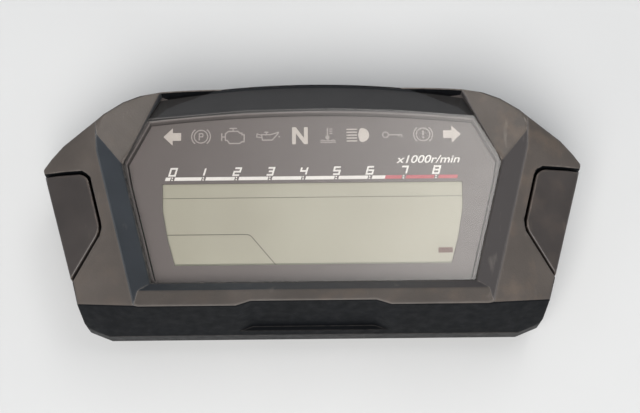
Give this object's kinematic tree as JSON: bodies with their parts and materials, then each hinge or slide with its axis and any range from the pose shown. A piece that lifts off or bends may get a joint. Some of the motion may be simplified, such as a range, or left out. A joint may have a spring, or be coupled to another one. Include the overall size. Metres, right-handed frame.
{
  "type": "motorcycle instrument cluster",
  "caption": "Digital motorcycle instrument cluster with a smoked window over a liquid crystal display, winged case, side push buttons and threaded rear mounts.",
  "frame": {"origin": "in the plane of the three rear mounting faces, below the centre of the case's bounding box", "axes": "+Z out of the display towards the rider, +Y towards the top of the display, +X to the right as the rider sees it"},
  "size_m": [0.19, 0.0878, 0.046],
  "materials": {
    "case_plastic": "fine moulded texture, worn at the ridges",
    "button_plastic": "smooth satin, slightly worn at the outer edge",
    "lens": "smoked clear polycarbonate, glossy with fine scratches",
    "seal_rubber": "soft, matte",
    "rear_plastic": "plain moulded black",
    "steel": "zinc plated",
    "brass": "turned",
    "connector_plastic": "natural nylon",
    "contact_metal": "tin plated",
    "connector_seal": "soft silicone",
    "board": "green solder mask",
    "chip_resin": "fine moulded resin",
    "can_metal": "drawn can",
    "ferrite": "ferrite, matte",
    "switch_plastic": "satin",
    "plunger_plastic": "natural acetal",
    "led_resin": "clear resin over phosphor",
    "white_plastic": "reflective white",
    "opal_plastic": "opal",
    "polarizer": "film, low gloss",
    "lcd_glass": "two ground glass plates with the cell between",
    "face_film": "printed polycarbonate film, satin"
  },
  "bodies": {
    "case": {"front_case": "case_plastic", "lens": "lens", "lens_gasket": "seal_rubber", "left_stem_seal": "seal_rubber", "right_stem_seal": "seal_rubber", "rear_case": "rear_plastic", "case_gasket": "seal_rubber", "case_screws": "steel", "mount_inserts": "brass", "mount_grommets": "seal_rubber", "breather_plug": "rear_plastic", "connector_housing": "connector_plastic", "connector_pins": "contact_metal", "connector_seal": "connector_seal", "main_board": "board", "board_screws": "steel", "controller_chip": "chip_resin", "memory_chip": "chip_resin", "driver_chip": "chip_resin", "regulator": "chip_resin", "capacitors": "can_metal", "choke": "ferrite", "crystal": "can_metal", "chip_resistors": "chip_resin", "left_switch_body": "switch_plastic", "right_switch_body": "switch_plastic", "backlight_leds": "led_resin", "telltale_leds": "led_resin", "light_box": "white_plastic", "diffuser": "opal_plastic", "lcd_rear_polarizer": "polarizer", "lcd_panel": "lcd_glass", "lcd_front_polarizer": "polarizer", "lcd_pins": "contact_metal", "face_plate": "face_film"},
    "left_key": {"left_button": "button_plastic", "left_stem_clip": "steel"},
    "right_key": {"right_button": "button_plastic", "right_stem_clip": "steel"},
    "left_plunger": {"left_switch_plunger": "plunger_plastic"},
    "right_plunger": {"right_switch_plunger": "plunger_plastic"}
  },
  "joints": [
    {"name": "left_button_press", "type": "slide", "parent": "case", "child": "left_key", "axis": [0, 0, -1], "range_m": [0, 0.001], "stiffness_N_per_m": 2300, "springref_m": -0.0003},
    {"name": "right_button_press", "type": "slide", "parent": "case", "child": "right_key", "axis": [0, 0, -1], "range_m": [0, 0.001], "stiffness_N_per_m": 2300, "springref_m": -0.0003},
    {"name": "left_plunger_press", "type": "slide", "parent": "case", "child": "left_plunger", "axis": [0, 0, -1], "range_m": [0, 0.001]},
    {"name": "right_plunger_press", "type": "slide", "parent": "case", "child": "right_plunger", "axis": [0, 0, -1], "range_m": [0, 0.001]}
  ],
  "couplings": [
    {"joint": "left_plunger_press", "follows": "left_button_press", "ratio": 1},
    {"joint": "right_plunger_press", "follows": "right_button_press", "ratio": 1}
  ]
}
